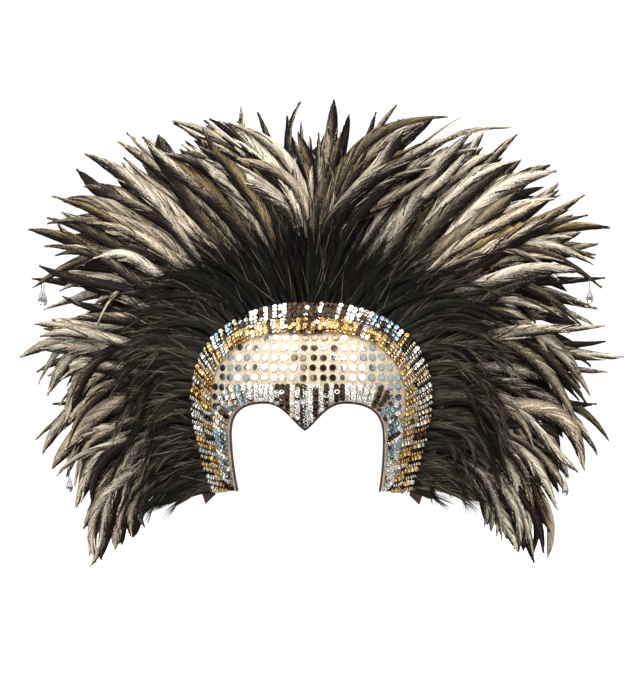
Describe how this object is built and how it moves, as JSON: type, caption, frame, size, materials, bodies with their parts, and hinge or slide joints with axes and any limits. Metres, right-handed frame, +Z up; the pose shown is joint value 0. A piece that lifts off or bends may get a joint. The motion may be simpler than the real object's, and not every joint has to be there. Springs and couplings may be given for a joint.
{
  "type": "feathered headdress",
  "caption": "Show headdress: stiff bonnet with a heart-shaped face edge, sequinned front and trims, and a fan of dark hackles before long metallic tail feathers.",
  "frame": {"origin": "inside top of the bonnet, where it sits on the crown of the head", "axes": "the wearer faces -Y, +X is to the right in the front view, +Z is up"},
  "size_m": [0.5326, 0.2068, 0.4019],
  "materials": {
    "shell_felt": "stiffened dark brown felt",
    "sequin_cloth": "champagne net cloth covered with flat mirror sequins",
    "binding": "brown woven tape",
    "silver_sequins": "metallised silver and pale blue cup sequins",
    "gold_sequins": "metallised gold cup sequins",
    "hackle_feathers": "soft near-black brown hackle feathers with glossy strands",
    "coque_feathers": "dark tail feathers sprayed with silver and gold"
  },
  "bodies": {
    "root": {"bonnet_shell": "shell_felt", "sequin_cloth": "sequin_cloth", "face_binding": "binding", "silver_rim_trim": "silver_sequins", "gold_rim_trim": "gold_sequins", "brow_trim": "silver_sequins", "feather_tape": "binding", "hackle_crest": "hackle_feathers", "hackle_left_1": "hackle_feathers", "hackle_left_2": "hackle_feathers", "hackle_left_3": "hackle_feathers", "hackle_right_1": "hackle_feathers", "hackle_right_2": "hackle_feathers", "hackle_right_3": "hackle_feathers", "coque_crest": "coque_feathers", "coque_left_shoulder": "coque_feathers", "coque_left_side": "coque_feathers", "coque_left_flank": "coque_feathers", "coque_left_tail": "coque_feathers", "coque_right_shoulder": "coque_feathers", "coque_right_side": "coque_feathers", "coque_right_flank": "coque_feathers", "coque_right_tail": "coque_feathers"}
  },
  "joints": []
}
